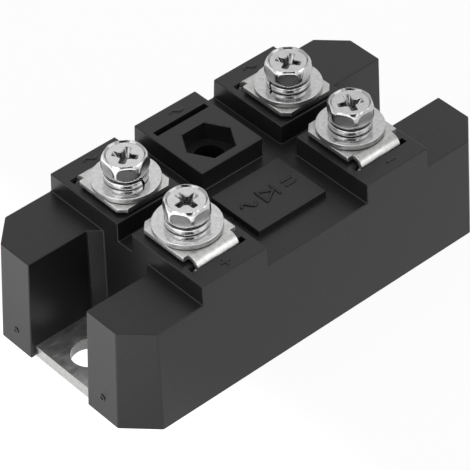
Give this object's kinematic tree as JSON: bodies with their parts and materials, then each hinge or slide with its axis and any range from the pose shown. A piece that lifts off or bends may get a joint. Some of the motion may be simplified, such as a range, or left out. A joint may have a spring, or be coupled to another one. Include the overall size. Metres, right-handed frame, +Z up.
{
  "type": "bridge rectifier module",
  "caption": "Power module with a black moulded housing, screw terminals with hexagon heads over captive nuts, a bare label plate and a metal base plate with slots for mounting screws.",
  "frame": {"origin": "middle of the underside of the metal base plate", "axes": "+X along the length, from the plus end to the minus end; +Y towards the row of the two alternating-current terminals; +Z up, out of the base plate towards the screw heads"},
  "size_m": [0.08, 0.04, 0.0314],
  "materials": {
    "housing_plastic": "fine matte moulded surface, black glass-filled thermoplastic",
    "plate_metal": "dull nickel plating over copper",
    "terminal_metal": "bright tin or nickel plating over punched copper sheet",
    "fastener_steel": "bright zinc or nickel plating over steel",
    "screw_steel": "bright nickel plating over upset steel",
    "ceramic": "white sintered alumina, smooth",
    "copper": "bare copper",
    "silicon": "metallised silicon",
    "gel": "soft clear silicone"
  },
  "bodies": {
    "root": {"housing": "housing_plastic", "base_plate": "plate_metal", "terminal_ac_left": "terminal_metal", "terminal_ac_right": "terminal_metal", "terminal_plus": "terminal_metal", "terminal_minus": "terminal_metal", "nut_ac_left": "fastener_steel", "nut_ac_right": "fastener_steel", "nut_plus": "fastener_steel", "nut_minus": "fastener_steel", "flat_washer_ac_left": "fastener_steel", "flat_washer_ac_right": "fastener_steel", "flat_washer_plus": "fastener_steel", "flat_washer_minus": "fastener_steel", "spring_washer_ac_left": "fastener_steel", "spring_washer_ac_right": "fastener_steel", "spring_washer_plus": "fastener_steel", "spring_washer_minus": "fastener_steel", "screw_ac_left": "screw_steel", "screw_ac_right": "screw_steel", "screw_plus": "screw_steel", "screw_minus": "screw_steel", "ceramic_substrate": "ceramic", "track_ac_left": "copper", "track_ac_right": "copper", "track_plus": "copper", "track_minus": "copper", "diode_chip_plus_left": "silicon", "diode_chip_plus_right": "silicon", "diode_chip_minus_left": "silicon", "diode_chip_minus_right": "silicon", "jumper_left": "copper", "jumper_right": "copper", "bus_strap": "copper", "gel_filling": "gel"}
  },
  "joints": []
}
